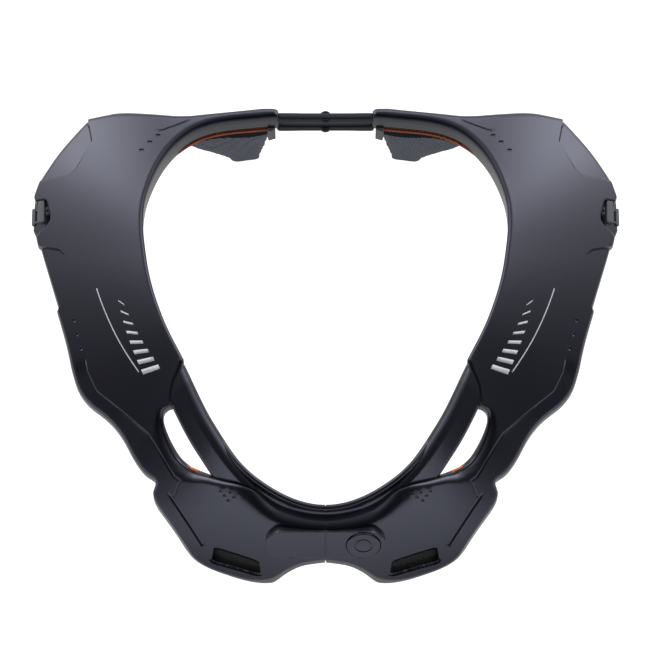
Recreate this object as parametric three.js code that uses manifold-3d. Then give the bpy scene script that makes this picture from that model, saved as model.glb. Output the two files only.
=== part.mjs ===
// A motocross neck brace: two moulded half collars that meet at a latch in front and are joined
// at the back by two rubber links. The front is -Y, up is +Z and the release button is on +X.
// Every collar surface is drawn in sections around the neck opening. A section's angle is
// counted from the rear (0) round the side (90) to the front seam (180).
import * as THREE from 'three';
import { mergeVertices } from 'three/addons/utils/BufferGeometryUtils.js';
import Module from 'manifold-3d';

// sizes in millimetres
const NECK_RADIUS = 83;      // mean radius of the neck opening
const CREST_HEIGHT = 70;     // rolled neck edge above the surface that the brace stands on
const WING_REACH = 55;       // furthest reach of a wing past the neck edge
const BOW = 260;             // radius of the wing's slight outward curve
const WALL = 3;              // moulded plastic wall
const ROLL = 4;              // radius of the rolled neck edge
const EDGE_ROUND = 3.6;      // rounding where the surface turns down at the outer rim
const LIP = 13;              // depth of the inner wall below the crest
const RIM = 4;               // depth of the turned-down outer rim
const ARM_WIDTH = 5;         // rear arm, neck side to back
const RAIL_WIDTH = 12.6;      // neck rail beside the vent slot
const RAIL_SINK = 4.5;       // how far the rail's lower end dips under the chest plate
const SLOT_OUTER = 19;       // neck edge to the far side of the vent slot
const SEAM = 0.4;            // gap between the two halves at the latch
const CLEARANCE = 0.3;       // gap between fitted pieces
const RECESS_DEPTH = 1.8;    // shallow pocket in the side of a wing
const LINK_SPAN = 43;        // distance between the two rear arm ends

// latch block and release button
const LATCH_HALF_WIDTH = 27;
const LATCH_HEIGHT = 17;
const LATCH_DEPTH = 13;
const LATCH_RAISE = 1.6;     // how far the block stands out of the chest surface
const LATCH_SLOPE = 61;      // angle of its face from level, in degrees
const LEDGE_DEPTH = 8;       // scoop between the front lip and the latch block
const BUTTON_OFFSET = 17;    // button centre from the seam
const BUTTON_DIAMETER = 15.8;
const BUTTON_THICKNESS = 4;
const BUTTON_PROUD = 0.6;
const BUTTON_TRAVEL = 2.5;
const TONGUE_LENGTH = 22;    // latch tongue past the seam
const TONGUE_WIDTH = 9;
const TONGUE_THICKNESS = 3;

// chest plate slot, strap clips, pads and links
const VENT_LENGTH = 23;
const VENT_HEIGHT = 9.5;
const NOTCH_WIDTH = 15;
const NOTCH_DEPTH = 7.6;
const CLIP_BAR = 2.6;
const CLIP_THICKNESS = 2.4;
const CLIP_GAP = 1.7;
const CLIP_OUTER_BAR = 1.5;
const FOAM = 8;              // rear pad thickness
const CHEST_FOAM = 6;        // chest pad thickness
const PIPING = 1.8;          // diameter of the coloured edge cord
const LINK_WIDTH = 2.6;
const LINK_HEIGHT = 3.6;
const LINK_RISE = 10;        // height between the two links
const BOSS_DIAMETER = 7;
const TAB_HEIGHT = 11;
const TAB_WIDTH = 3.4;
const TAB_THICKNESS = 1.6;

// The ring every 20 degrees: radius as a share of NECK_RADIUS, height as a share of
// CREST_HEIGHT, and how steeply the surface falls outward (drop over run).
const RING = [
  { angle: 0, radius: 1.012, crest: 1.0, fall: 0.22 },
  { angle: 20, radius: 1.072, crest: 1.0, fall: 0.22 },
  { angle: 40, radius: 1.184, crest: 1.014, fall: 0.2 },
  { angle: 60, radius: 1.128, crest: 1.029, fall: 0.28 },
  { angle: 80, radius: 0.993, crest: 1.014, fall: 0.42 },
  { angle: 100, radius: 0.901, crest: 0.971, fall: 0.6 },
  { angle: 120, radius: 0.865, crest: 0.9, fall: 0.82 },
  { angle: 140, radius: 0.937, crest: 0.814, fall: 1.15 },
  { angle: 160, radius: 1.067, crest: 0.714, fall: 1.6 },
  { angle: 180, radius: 1.14, crest: 0.657, fall: 1.75 },
];

// Corners of the outer edge: reach past the neck edge as a share of WING_REACH, how much of
// the neighbouring sides a corner's rounding takes up, and rim depth as a share of RIM.
const OUTLINE = [
  { angle: 37.5, reach: 0.17, round: 0.5, rim: 1 },
  { angle: 46.4, reach: 0.585, round: 0.5, rim: 1 },
  { angle: 51.5, reach: 0.81, round: 0.15, rim: 1 },
  { angle: 58.5, reach: 0.9, round: 1, rim: 1 },
  { angle: 65.6, reach: 0.99, round: 0.3, rim: 1 },
  { angle: 68.9, reach: 1.02, round: 0.6, rim: 1 },
  { angle: 78.6, reach: 0.935, round: 0.9, rim: 1 },
  { angle: 90.8, reach: 0.827, round: 0.8, rim: 1 },
  { angle: 99, reach: 0.81, round: 0.8, rim: 1 },
  { angle: 109, reach: 0.875, round: 0.9, rim: 1 },
  { angle: 119.5, reach: 0.69, round: 0.9, rim: 1 },
  { angle: 130.6, reach: 0.68, round: 0.9, rim: 1 },
  { angle: 135.4, reach: 0.605, round: 0.25, rim: 1 },
  { angle: 136.3, reach: 0.715, round: 0.8, rim: 1 },
  { angle: 145, reach: 0.703, round: 0.5, rim: 1 },
  { angle: 152.1, reach: 0.735, round: 0.75, rim: 2 },
  { angle: 166.7, reach: 0.593, round: 0.65, rim: 2.2 },
  { angle: 172.8, reach: 0.41, round: 0.6, rim: 1 },
  { angle: 180, reach: 0.355, round: 0, rim: 1 },
];

// Inner edge of the moulded skin: distance from the neck edge as a share of SLOT_OUTER, and
// depth of its turned-down wall as a share of LIP. It leaves the neck edge where the rail
// starts, rounds the vent slot, and comes back along the top of the chest plate.
const SKIN_EDGE = [
  { angle: 10, inset: 0, lip: 1 },
  { angle: 118, inset: 0, lip: 1 },
  { angle: 121, inset: 0.47, lip: 0.6 },
  { angle: 125, inset: 0.76, lip: 0.5 },
  { angle: 126.2, inset: 0.93, lip: 0.5 },
  { angle: 128.4, inset: 0.98, lip: 0.55 },
  { angle: 136.3, inset: 0.9, lip: 0.55 },
  { angle: 145, inset: 0.88, lip: 0.55 },
  { angle: 150.3, inset: 0.715, lip: 0.5 },
  { angle: 155.9, inset: 0.44, lip: 0.5 },
  { angle: 161.8, inset: 0.17, lip: 0.5 },
  { angle: 166, inset: 0, lip: 0.55 },
  { angle: 180, inset: 0, lip: 0.6 },
];

// How deep the neck rail lies under the skin's surface, as a share of RAIL_SINK.
const RAIL = [
  { angle: 112, sink: 0.35 },
  { angle: 119, sink: 0.22 },
  { angle: 128, sink: 0.22 },
  { angle: 150, sink: 1.0 },
  { angle: 165, sink: 1.1 },
];

// Lower hem of a rear pad above the floor, as a share of the pad's top height. Its angles are
// counted from the arm's end.
const REAR_PAD = [
  { angle: 1.7, hem: 0.8 },
  { angle: 4.7, hem: 0 },
  { angle: 12, hem: 0 },
  { angle: 13.5, hem: 0.16 },
  { angle: 17.4, hem: 0.37 },
  { angle: 21.7, hem: 0.62 },
  { angle: 25.7, hem: 0.93 },
];
const PAD_LEAN = 6.5;         // how far the hem of a rear pad stands behind its top
const CHEST_PAD = { from: 141.5, to: 164.4, inner: 13.8, margin: 4.2, foot: 3 };

const { degToRad, radToDeg, clamp, lerp, smoothstep } = THREE.MathUtils;
const wasm = await Module();
wasm.setup();

// Value of one column of a table at an angle, along straight lines.
function straight(table, key, angle) {
  const last = table.length - 1;
  const i = clamp(table.findIndex((row) => row.angle > angle), 1, last);
  const [a, b] = table[last].angle <= angle ? [table[last - 1], table[last]] : [table[i - 1], table[i]];
  return lerp(a[key], b[key], clamp((angle - a.angle) / (b.angle - a.angle), 0, 1));
}

// The same along a smooth curve through evenly spaced rows, level at both ends.
function smooth(table, key, angle) {
  const step = table[1].angle - table[0].angle;
  const i = clamp(Math.floor(angle / step), 0, table.length - 2);
  const t = clamp(angle / step - i, 0, 1);
  const [a, b] = [table[i][key], table[i + 1][key]];
  const before = (table[i - 1] ?? table[i + 1])[key];
  const after = (table[i + 2] ?? table[i])[key];
  const [ma, mb] = [(b - before) / 2, (after - a) / 2];
  return (2 * t ** 3 - 3 * t ** 2 + 1) * a + (t ** 3 - 2 * t ** 2 + t) * ma
    + (3 * t ** 2 - 2 * t ** 3) * b + (t ** 3 - t ** 2) * mb;
}

const neckEdge = (angle) => NECK_RADIUS * smooth(RING, 'radius', angle);
const fall = (angle) => smooth(RING, 'fall', angle);
const place = (angle, reach) => new THREE.Vector2(
  Math.sin(degToRad(angle)) * reach, Math.cos(degToRad(angle)) * reach);
// Angle at which the neck edge is as far aside as an arm's end.
let armAngle = 14;
for (let i = 0; i < 6; i++) armAngle = radToDeg(Math.asin(LINK_SPAN / 2 / neckEdge(armAngle)));

// Height of the collar surface at a distance from the ring's centre, before any rolled edge.
function surface(angle, reach) {
  const slope = Math.atan(fall(angle));
  const run = reach - neckEdge(angle) - ROLL * (1 + Math.sin(slope));
  const crest = CREST_HEIGHT * smooth(RING, 'crest', angle);
  return crest - ROLL * (1 - Math.cos(slope)) - fall(angle) * run - run * Math.abs(run) / (2 * BOW);
}
function slopeAt(angle, reach) {
  return Math.atan(fall(angle) + Math.max(0, reach - neckEdge(angle) - 2 * ROLL) / BOW);
}

// Scoop between the front lip and the latch block, fading out past the block's round ends.
function scoop(angle, reach) {
  const aside = place(angle, reach).x;
  const start = ROLL * (1 + Math.sin(slopeAt(angle, reach)));
  const run = reach - neckEdge(angle) - start;
  const across = 1 - smoothstep(aside, LATCH_HALF_WIDTH - ROLL, LATCH_HALF_WIDTH + ROLL);
  return LEDGE_DEPTH * across * smoothstep(run, 0, 2.5) * (1 - smoothstep(run, 2.5, 7));
}

// The outer edge as points in plan, with each corner rounded towards its neighbours.
function outlinePoints(steps) {
  const corners = OUTLINE.map((c) => place(c.angle, neckEdge(c.angle) + c.reach * WING_REACH));
  const armEnd = [10, 18, 26].map((angle) => place(angle, neckEdge(angle) + ARM_WIDTH));
  const points = [...armEnd];
  corners.forEach((corner, i) => {
    const before = corners[i - 1] ?? armEnd.at(-1), after = corners[i + 1] ?? corner;
    const share = OUTLINE[i].round / 2;
    if (share === 0) return points.push(corner);
    const curve = new THREE.QuadraticBezierCurve(
      corner.clone().lerp(before, share), corner, corner.clone().lerp(after, share));
    points.push(...curve.getPoints(steps));
  });
  return points;
}
const OUTER = outlinePoints(2);
const polarAngle = (p) => radToDeg(Math.atan2(p.x, p.y));

// Distance from the ring's centre to the outer edge in one direction.
function outerEdge(angle) {
  const ray = place(angle, 1);
  for (let i = 1; i < OUTER.length; i++) {
    const [a, b] = [OUTER[i - 1], OUTER[i]];
    if (polarAngle(b) < angle - 1e-6) continue;
    const side = b.clone().sub(a);
    return a.cross(side) / ray.cross(side);
  }
  return OUTER.at(-1).length();
}

// One hollow section of the moulding: inner wall, rolled edge, surface, rim, and back inside.
function skinSection(angle, inner, outer, lip, rim, sink = 0) {
  const dip = (reach) => sink || scoop(angle, reach);
  const width = outer - inner;
  const wall = Math.min(WALL, 0.42 * width);
  const rollIn = Math.min(ROLL, 0.5 * width), rollOut = Math.min(EDGE_ROUND, 0.45 * width);
  const outside = [], normals = [];
  const add = (reach, height, turn) => {
    outside.push(new THREE.Vector2(reach, height));
    normals.push(new THREE.Vector2(Math.sin(turn), Math.cos(turn)));
  };
  const arc = (reach, height, radius, from, to, steps) => {
    for (let i = 0; i <= steps; i++) {
      const turn = lerp(from, to, i / steps);
      add(reach + radius * Math.sin(turn), height + radius * Math.cos(turn), turn);
    }
  };
  const slopeIn = slopeAt(angle, inner), slopeOut = slopeAt(angle, outer);
  const start = inner + rollIn * (1 + Math.sin(slopeIn));
  const end = Math.max(outer - rollOut * (1 - Math.sin(slopeOut)), start + 0.1);
  const lowIn = surface(angle, start) - sink - rollIn * Math.cos(slopeIn);
  const lowOut = surface(angle, end) - sink - rollOut * Math.cos(slopeOut);
  add(inner, lowIn + rollIn - lip, -Math.PI / 2);
  arc(inner + rollIn, lowIn, rollIn, -Math.PI / 2, slopeIn, 3);
  for (const share of [0.2, 0.4, 0.7]) {
    const reach = lerp(start, end, share);
    add(reach, surface(angle, reach) - dip(reach), lerp(slopeIn, slopeOut, share));
  }
  arc(outer - rollOut, lowOut, rollOut, slopeOut, Math.PI / 2, 2);
  add(outer, Math.max(Math.min(lowOut - 0.5, lowOut + rollOut - rim), 0), Math.PI / 2);
  const inside = outside.map((p, i) => p.clone().addScaledVector(normals[i], -wall));
  inside.forEach((p) => { p.y = Math.max(p.y, 0); });
  return [...outside, ...inside.reverse()];
}

// A solid through a row of sections that all have as many points.
function loft(rows) {
  const count = rows[0].points.length;
  const position = rows.flatMap(({ angle, points }) => points.flatMap((p) => {
    const plan = place(angle, p.x);
    return [plan.x, plan.y, p.y];
  }));
  const index = [];
  for (let i = 1; i < rows.length; i++) {
    for (let j = 0; j < count; j++) {
      const a = (i - 1) * count + j, b = (i - 1) * count + (j + 1) % count;
      index.push(a, b, a + count, b, b + count, a + count);
    }
  }
  // Both ends are closed by triangles that run the same way round as the section's outline.
  const clockwise = THREE.ShapeUtils.isClockWise(rows[0].points);
  const close = (points, first, forward) => {
    for (const face of THREE.ShapeUtils.triangulateShape(points, [])) {
      const same = THREE.ShapeUtils.isClockWise(face.map((k) => points[k])) === clockwise;
      const [a, b, c] = face.map((k) => k + first);
      index.push(...(same === forward ? [a, b, c] : [a, c, b]));
    }
  };
  close(rows[0].points, 0, false);
  close(rows.at(-1).points, (rows.length - 1) * count, true);
  const geometry = new THREE.BufferGeometry();
  geometry.setAttribute('position', new THREE.Float32BufferAttribute(position, 3));
  geometry.setIndex(index);
  return geometry;
}

// Merges a closed mesh's shared vertices, leaving only positions.
function weld(geometry) {
  for (const name of ['normal', 'uv']) geometry.deleteAttribute(name);
  return mergeVertices(geometry, 1e-5);
}
// Geometry to solid and back; a solid whose faces point inwards is turned round.
function solid(source) {
  const geometry = weld(source.clone());
  const triVerts = new Uint32Array(geometry.index.array);
  const vertProperties = new Float32Array(geometry.attributes.position.array);
  const make = () => new wasm.Manifold(new wasm.Mesh({ numProp: 3, vertProperties, triVerts }));
  const made = make();
  if (made.volume() > 0) return made;
  for (let i = 0; i < triVerts.length; i += 3) {
    [triVerts[i + 1], triVerts[i + 2]] = [triVerts[i + 2], triVerts[i + 1]];
  }
  return make();
}
function geometryOf(manifold) {
  const mesh = manifold.getMesh();
  const geometry = new THREE.BufferGeometry();
  geometry.setAttribute('position', new THREE.Float32BufferAttribute(mesh.vertProperties, 3));
  geometry.setIndex([...mesh.triVerts]);
  return geometry;
}
function mirrored(geometry) {
  const copy = weld(geometry.clone()).scale(-1, 1, 1);
  const index = [...copy.index.array];
  for (let i = 0; i < index.length; i += 3) [index[i + 1], index[i + 2]] = [index[i + 2], index[i + 1]];
  return copy.setIndex(index);
}
function block(width, depth, height, matrix) {
  return solid(new THREE.BoxGeometry(width, depth, height).applyMatrix4(matrix));
}
const at = (x, y, z) => new THREE.Matrix4().makeTranslation(x, y, z);

// Angles at which the skin needs a section: corners of the outer edge and of the inner edge,
// with others between them wherever two lie far apart.
function sectionAngles(from, to, marks, step) {
  const wanted = [from, ...marks.filter((a) => a > from + 0.2 && a < to - 0.2), to]
    .sort((a, b) => a - b);
  const angles = [from];
  for (const angle of wanted.slice(1)) {
    if (angle - angles.at(-1) < 0.12) continue;
    const extra = Math.floor((angle - angles.at(-1)) / step);
    const start = angles.at(-1);
    for (let k = 1; k <= extra; k++) angles.push(lerp(start, angle, k / (extra + 1)));
    angles.push(angle);
  }
  return angles;
}

// One moulded half collar is a skin, a neck rail and half of the latch block.
const skinMarks = [...OUTER.map(polarAngle), ...SKIN_EDGE.map((row) => row.angle)];
const skinRows = sectionAngles(10, 180, skinMarks, 6).map((angle) => ({
  angle,
  points: skinSection(
    angle,
    neckEdge(angle) + SLOT_OUTER * straight(SKIN_EDGE, 'inset', angle),
    outerEdge(angle),
    LIP * straight(SKIN_EDGE, 'lip', angle),
    angle < OUTLINE[0].angle ? LIP : RIM * straight(OUTLINE, 'rim', angle)),
}));
// The rail leans a little into the opening as it dips, so that it shows under the front lip.
const railSink = (angle) => RAIL_SINK * straight(RAIL, 'sink', angle);
const railInner = (angle) => neckEdge(angle) + CLEARANCE - 0.2 * railSink(angle);
const railRows = sectionAngles(RAIL[0].angle, RAIL.at(-1).angle, [], 5).map((angle) => ({
  angle,
  points: skinSection(
    angle, railInner(angle), neckEdge(angle) + RAIL_WIDTH, LIP * 0.8, RIM, railSink(angle)),
}));

// The latch block lies along the front surface: its own frame has x across, y up the face
// and z out of it.
const latchReach = neckEdge(180) + OUTLINE.at(-1).reach * WING_REACH - LATCH_HEIGHT / 2
  * Math.cos(degToRad(LATCH_SLOPE));
const latchFrame = new THREE.Matrix4().makeTranslation(
  0, -latchReach, surface(180, latchReach) + LATCH_RAISE / Math.cos(degToRad(LATCH_SLOPE)));
latchFrame.multiply(new THREE.Matrix4().makeRotationX(degToRad(LATCH_SLOPE)));
const onLatch = (x, y, z) => latchFrame.clone().multiply(at(x, y, z));

const radius = LATCH_HEIGHT / 2;
const pill = new THREE.Shape();
pill.moveTo(0, -radius);
pill.lineTo(LATCH_HALF_WIDTH - radius, -radius);
pill.absarc(LATCH_HALF_WIDTH - radius, 0, radius, -Math.PI / 2, Math.PI / 2);
pill.lineTo(0, radius);
const pillSolid = solid(new THREE.ExtrudeGeometry(pill, {
  depth: LATCH_DEPTH, bevelEnabled: false, curveSegments: 8,
}).applyMatrix4(onLatch(0, 0, -LATCH_DEPTH)));

// Strap notch in the wing's outer edge, drawn outward from the middle of its inner wall.
const notchAngle = 72.2;
const notchOuter = place(notchAngle, neckEdge(notchAngle) + WING_REACH);
const notchInner = new THREE.Vector2(notchOuter.x - NOTCH_DEPTH, notchOuter.y);
const notch = new THREE.Shape([
  [0.05, 0.34], [0, -0.18], [0.17, -0.32], [0.7, -0.49], [3, -0.49], [3, 0.5], [0.25, 0.5],
].map(([x, y]) => new THREE.Vector2(x * NOTCH_DEPTH, y * NOTCH_WIDTH)));
const notchCut = solid(new THREE.ExtrudeGeometry(notch, {
  depth: CREST_HEIGHT, bevelEnabled: false,
}).applyMatrix4(at(notchInner.x, notchInner.y, 0)));

// Shallow six-sided pocket behind it, open to the outer edge.
const pocketAngles = [
  { angle: 77.9, inner: 0.93 }, { angle: 78.6, inner: 0.765 }, { angle: 79.6, inner: 0.722 },
  { angle: 85.2, inner: 0.672 }, { angle: 86.8, inner: 0.682 }, { angle: 91.2, inner: 0.85 },
];
const pocketRows = sectionAngles(77.9, 91.2, pocketAngles.map((p) => p.angle), 4).map((angle) => {
  const inner = neckEdge(angle) + WING_REACH * straight(pocketAngles, 'inner', angle);
  const outer = outerEdge(angle) + ROLL;
  const floorAt = (reach) => surface(angle, reach) - RECESS_DEPTH;
  return { angle, points: [
    new THREE.Vector2(inner, floorAt(inner)), new THREE.Vector2(outer, floorAt(outer)),
    new THREE.Vector2(outer, CREST_HEIGHT * 1.2), new THREE.Vector2(inner, CREST_HEIGHT * 1.2),
  ] };
});

// Slanted slot low on the chest plate, cut square to the surface.
const ventAngle = 160.1;
const ventReach = neckEdge(ventAngle) + 31;
const ventPlace = place(ventAngle, ventReach);
const ventSlope = slopeAt(ventAngle, ventReach);
const ventFrame = at(ventPlace.x, ventPlace.y, surface(ventAngle, ventReach))
  .multiply(new THREE.Matrix4().makeRotationZ(degToRad(180 - ventAngle)))
  .multiply(new THREE.Matrix4().makeRotationX(ventSlope));
const cut = VENT_HEIGHT / 5;
const vent = new THREE.Shape([
  [-VENT_LENGTH / 2 + cut, -VENT_HEIGHT / 2], [VENT_LENGTH / 2 - cut, -VENT_HEIGHT / 2],
  [VENT_LENGTH / 2, -VENT_HEIGHT / 2 + cut], [VENT_LENGTH / 2, VENT_HEIGHT / 2 - cut],
  [VENT_LENGTH / 2 - cut, VENT_HEIGHT / 2], [-VENT_LENGTH / 2 + cut, VENT_HEIGHT / 2],
  [-VENT_LENGTH / 2, VENT_HEIGHT / 2 - cut], [-VENT_LENGTH / 2, -VENT_HEIGHT / 2 + cut],
].map(([x, y]) => new THREE.Vector2(x, y)));
const ventCut = solid(new THREE.ExtrudeGeometry(vent, { depth: 4 * WALL, bevelEnabled: false })
  .applyMatrix4(ventFrame.clone().multiply(at(0, 0, -2 * WALL))));

// Everything nearer the middle than a rear arm's end is cut off square.
const armEndCut = block(LINK_SPAN, NECK_RADIUS, CREST_HEIGHT, at(0, neckEdge(0), CREST_HEIGHT));

const half = solid(loft(skinRows))
  .add(solid(loft(railRows)))
  .add(pillSolid)
  .subtract(armEndCut)
  .subtract(notchCut)
  .subtract(solid(loft(pocketRows)))
  .subtract(ventCut);

// The button's pocket and the socket for the tongue are in the +X half only.
const disc = (diameter, from, to, segments) => weld(new THREE.CylinderGeometry(
  diameter / 2, diameter / 2, to - from, segments))
  .rotateX(Math.PI / 2).applyMatrix4(onLatch(BUTTON_OFFSET, 0, (from + to) / 2));
const pocketFloor = BUTTON_PROUD - BUTTON_THICKNESS - BUTTON_TRAVEL - CLEARANCE;
const buttonPocket = solid(disc(BUTTON_DIAMETER + 2 * CLEARANCE, pocketFloor, WALL, 36));
const tongueDepth = pocketFloor - TONGUE_THICKNESS / 2 - CLEARANCE - 0.6;
const tongueShape = (grow) => block(
  TONGUE_LENGTH + 2 * grow, TONGUE_WIDTH + 2 * grow, TONGUE_THICKNESS + 2 * grow,
  onLatch(TONGUE_LENGTH / 2 - SEAM, 0, tongueDepth));

const group = new THREE.Group();
const plastic = new THREE.MeshStandardMaterial({ color: 0x1d2029, roughness: 0.45, metalness: 0 });
const foam = new THREE.MeshStandardMaterial({ color: 0x3a3e4a, roughness: 0.95, metalness: 0 });
const orange = new THREE.MeshStandardMaterial({ color: 0xc8501f, roughness: 0.6, metalness: 0 });
const rubber = new THREE.MeshStandardMaterial({ color: 0x24262e, roughness: 0.6, metalness: 0 });
const grey = new THREE.MeshStandardMaterial({ color: 0x6f7480, roughness: 0.5, metalness: 0 });
const neck = new THREE.Group();
group.add(neck);
function piece(name, geometry, material) {
  const mesh = new THREE.Mesh(geometryOf(solid(geometry)), material);
  mesh.name = name;
  neck.add(mesh);
  return mesh;
}
function pair(name, geometry, material) {
  piece(`${name}_right`, geometry, material);
  piece(`${name}_left`, mirrored(geometry), material);
}

piece('half_shell_right', geometryOf(half.subtract(buttonPocket).subtract(tongueShape(CLEARANCE))),
  plastic).position.x = SEAM / 2;
// The tongue's root sinks into the left half's block, and the rest stands out past the seam.
const tongue = block(
  TONGUE_LENGTH + 8, TONGUE_WIDTH, TONGUE_THICKNESS, onLatch(8 - (TONGUE_LENGTH + 8) / 2, 0, tongueDepth));
piece('half_shell_left', mirrored(geometryOf(half.add(tongue))), plastic).position.x = -SEAM / 2;

piece('release_button', disc(BUTTON_DIAMETER, BUTTON_PROUD - BUTTON_THICKNESS, BUTTON_PROUD, 36),
  plastic).position.x = SEAM / 2;

// A strap clip is a flat frame of two bars, held between the notch's ends.
const clipTop = NOTCH_WIDTH * 0.46, clipBottom = -NOTCH_WIDTH * 0.34;
const clipWidth = CLIP_BAR + CLIP_GAP + CLIP_OUTER_BAR;
const clip = new THREE.Shape([
  [0, clipBottom], [clipWidth - 1, clipBottom - 0.8], [clipWidth, clipBottom + 0.6],
  [clipWidth, clipTop - 4], [clipWidth - CLIP_OUTER_BAR, clipTop], [0, clipTop],
].map(([x, y]) => new THREE.Vector2(x, y)));
clip.holes.push(new THREE.Path([
  [CLIP_BAR, clipBottom + 1.2], [CLIP_BAR, clipTop - 1.6],
  [CLIP_BAR + CLIP_GAP * 0.6, clipTop - 1.6], [CLIP_BAR + CLIP_GAP, clipTop - 4],
  [CLIP_BAR + CLIP_GAP, clipBottom + 1.2],
].map(([x, y]) => new THREE.Vector2(x, y))));
const clipReach = neckEdge(notchAngle) + WING_REACH - NOTCH_DEPTH;
const clipFrame = at(
  notchInner.x + NOTCH_DEPTH * 0.25, notchInner.y, surface(notchAngle, clipReach) - WALL)
  .multiply(new THREE.Matrix4().makeRotationY(slopeAt(notchAngle, clipReach)));
pair('strap_clip', new THREE.ExtrudeGeometry(clip, { depth: CLIP_THICKNESS, bevelEnabled: false })
  .applyMatrix4(clipFrame), grey);

// A rear pad hangs below the neck edge's inner wall and leans back towards its hem.
const lipHeight = (angle) => CREST_HEIGHT * smooth(RING, 'crest', angle) - LIP;
const padTop = (angle) => lipHeight(angle) - PIPING - 2 * CLEARANCE;
const padRows = sectionAngles(REAR_PAD[0].angle, REAR_PAD.at(-1).angle,
  REAR_PAD.map((row) => row.angle), 2.5).map((past) => {
  const angle = armAngle + past;
  const top = padTop(angle), hem = top * straight(REAR_PAD, 'hem', past);
  const face = neckEdge(angle) + CLEARANCE * 2;
  const lean = PAD_LEAN * (1 - hem / top);
  return { angle, points: [
    new THREE.Vector2(face, top), new THREE.Vector2(face + FOAM, top),
    new THREE.Vector2(face + FOAM + lean, hem), new THREE.Vector2(face + lean, hem),
  ] };
});
pair('rear_pad', loft(padRows), foam);

// A round cord beside the neck edge, from one angle to another, at a given reach and height.
function cord(from, to, reachAt, heightAt) {
  const sides = 8;
  const rows = sectionAngles(from, to, [], 2.5).map((angle) => ({
    angle,
    points: Array.from({ length: sides }, (_, k) => {
      const turn = (k / sides) * 2 * Math.PI;
      return new THREE.Vector2(
        reachAt(angle) + PIPING / 2 * Math.sin(turn), heightAt(angle) + PIPING / 2 * Math.cos(turn));
    }),
  }));
  return loft(rows);
}
pair('rear_piping', cord(armAngle + 1.3, armAngle + 38, (a) => neckEdge(a) + PIPING / 2 + CLEARANCE,
  (a) => lipHeight(a) - CLEARANCE - PIPING / 2), orange);

// A chest pad lines each plate, with piping where the vent slot shows its upper end.
const underSkin = (angle, reach, depth) => surface(angle, reach)
  - depth / Math.cos(slopeAt(angle, reach));
const skinInner = (angle) => neckEdge(angle) + SLOT_OUTER * straight(SKIN_EDGE, 'inset', angle);
function skinHem(angle) {
  const inner = skinInner(angle), slope = slopeAt(angle, inner);
  return surface(angle, inner + ROLL * (1 + Math.sin(slope))) + ROLL * (1 - Math.cos(slope))
    - LIP * straight(SKIN_EDGE, 'lip', angle);
}
const chestFace = WALL + 4 * CLEARANCE;
// A chest pad stops short of the outer edge, or where its plate comes too near the floor.
function chestOuter(angle) {
  let outer = outerEdge(angle) - CHEST_PAD.margin;
  while (underSkin(angle, outer, chestFace) < CHEST_PAD.foot) outer -= CLEARANCE;
  return outer;
}
const chestTop = (angle, reach) => Math.min(
  skinHem(angle) - 4 * CLEARANCE, underSkin(angle, reach, chestFace));
const chestRows = sectionAngles(CHEST_PAD.from, CHEST_PAD.to, [], 3).map((angle) => {
  const inner = neckEdge(angle) + CHEST_PAD.inner, outer = chestOuter(angle);
  const step = Math.max(skinInner(angle) + WALL + 3 * CLEARANCE, inner + 1);
  return { angle, points: [
    new THREE.Vector2(inner, chestTop(angle, inner)),
    new THREE.Vector2(step, chestTop(angle, step)),
    new THREE.Vector2(step + 1, underSkin(angle, step + 1, chestFace)),
    new THREE.Vector2(outer, underSkin(angle, outer, chestFace)),
    new THREE.Vector2(outer, Math.max(
      underSkin(angle, outer, chestFace + CHEST_FOAM), CHEST_PAD.foot / 3)),
    new THREE.Vector2(inner, chestTop(angle, inner) - CHEST_FOAM),
  ] };
});
pair('chest_pad', loft(chestRows), foam);
pair('chest_piping', cord(140.5, 150,
  (a) => neckEdge(a) + CHEST_PAD.inner - PIPING / 2 - CLEARANCE,
  (a) => chestTop(a, neckEdge(a) + CHEST_PAD.inner) - PIPING / 2), orange);

// Two rubber links join the arm ends, one above the other, each with a round boss.
const linkLength = LINK_SPAN - 2 * CLEARANCE;
const linkY = Math.sqrt((neckEdge(armAngle) + ARM_WIDTH / 2) ** 2 - (LINK_SPAN / 2) ** 2) - 1.9;
const upperLink = CREST_HEIGHT - 4.2;
function link(height, boss) {
  const thick = LINK_HEIGHT / 2, thin = LINK_HEIGHT * 0.36, end = linkLength / 2;
  const shape = new THREE.Shape();
  shape.moveTo(-end, -thick);
  shape.lineTo(-end * 0.72, -thick);
  shape.quadraticCurveTo(-end * 0.6, -thin, -end * 0.45, -thin);
  shape.lineTo(end * 0.45, -thin);
  shape.quadraticCurveTo(end * 0.6, -thin, end * 0.72, -thick);
  shape.lineTo(end, -thick);
  shape.lineTo(end, thick);
  shape.lineTo(end * 0.72, thick);
  shape.quadraticCurveTo(end * 0.6, thin, end * 0.45, thin);
  shape.lineTo(-end * 0.45, thin);
  shape.quadraticCurveTo(-end * 0.6, thin, -end * 0.72, thick);
  shape.lineTo(-end, thick);
  const strap = new THREE.ExtrudeGeometry(shape, {
    depth: LINK_WIDTH, bevelEnabled: false, curveSegments: 4,
  }).rotateX(Math.PI / 2).applyMatrix4(at(0, linkY + LINK_WIDTH / 2, height));
  const knob = weld(new THREE.CylinderGeometry(boss / 2, boss / 2, LINK_WIDTH + 1.2, 24))
    .applyMatrix4(at(0, linkY, height));
  return geometryOf(solid(strap).add(solid(knob)));
}
piece('rear_link_upper', link(upperLink, BOSS_DIAMETER), rubber);
piece('rear_link_lower', link(upperLink - LINK_RISE, BOSS_DIAMETER * 0.85), rubber);

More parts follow.
